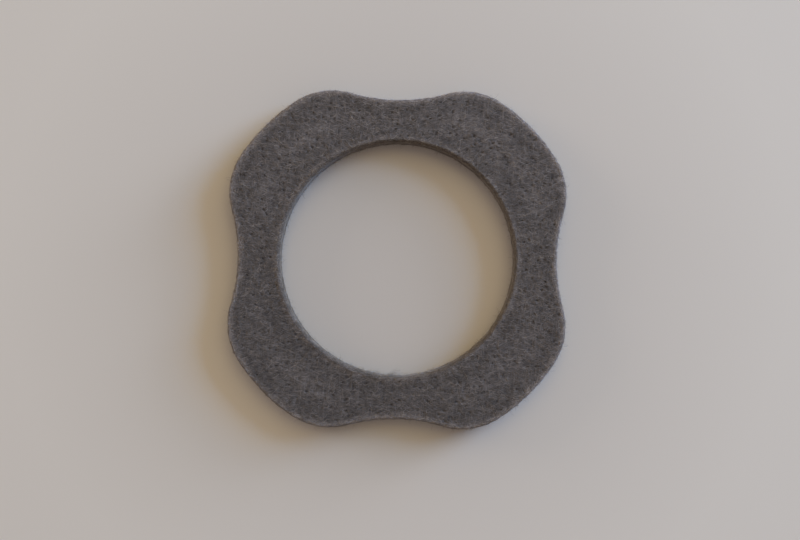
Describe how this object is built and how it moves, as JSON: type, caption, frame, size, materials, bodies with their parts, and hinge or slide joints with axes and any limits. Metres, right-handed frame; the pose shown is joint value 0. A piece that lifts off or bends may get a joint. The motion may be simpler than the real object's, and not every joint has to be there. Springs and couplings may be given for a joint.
{
  "type": "felt washer",
  "caption": "Flat die-cut felt washer with a large round bore and a rim of broad lobes and shallow scallops.",
  "frame": {"origin": "centre of the bore on the lower face", "axes": "+Z along the bore's axis, up through the felt; +X through the deepest point of a scallop"},
  "size_m": [0.0506, 0.0506, 0.003],
  "materials": {
    "wool_felt": "matt pressed wool felt, dark grey"
  },
  "bodies": {
    "root": {"felt_washer": "wool_felt"}
  },
  "joints": []
}
